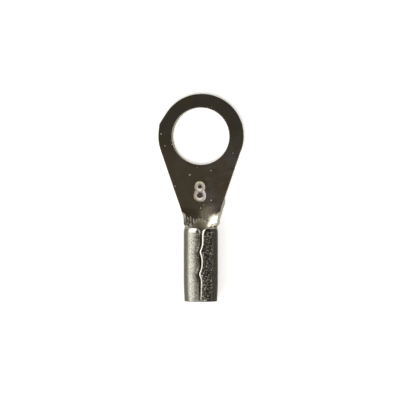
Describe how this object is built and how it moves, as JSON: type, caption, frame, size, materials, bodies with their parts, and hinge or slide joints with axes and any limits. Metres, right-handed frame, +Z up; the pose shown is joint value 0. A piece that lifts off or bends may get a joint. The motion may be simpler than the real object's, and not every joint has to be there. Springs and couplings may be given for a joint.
{
  "type": "ring terminal",
  "caption": "Bare ring terminal stamped from plated copper sheet: flat ring tongue with a round stud hole, short open neck and a butted-seam crimp barrel.",
  "frame": {"origin": "centre of the stud hole on the terminal's underside", "axes": "+X to the right, +Y from the barrel towards the ring's tip, +Z up out of the flat tongue; the terminal lies on its underside"},
  "size_m": [0.0151, 0.0365, 0.006],
  "materials": {
    "tin_plate": "bright tin plate over copper, mirror-like on the flat tongue and satin and mottled on the barrel"
  },
  "bodies": {
    "root": {"ring_terminal": "tin_plate"}
  },
  "joints": []
}
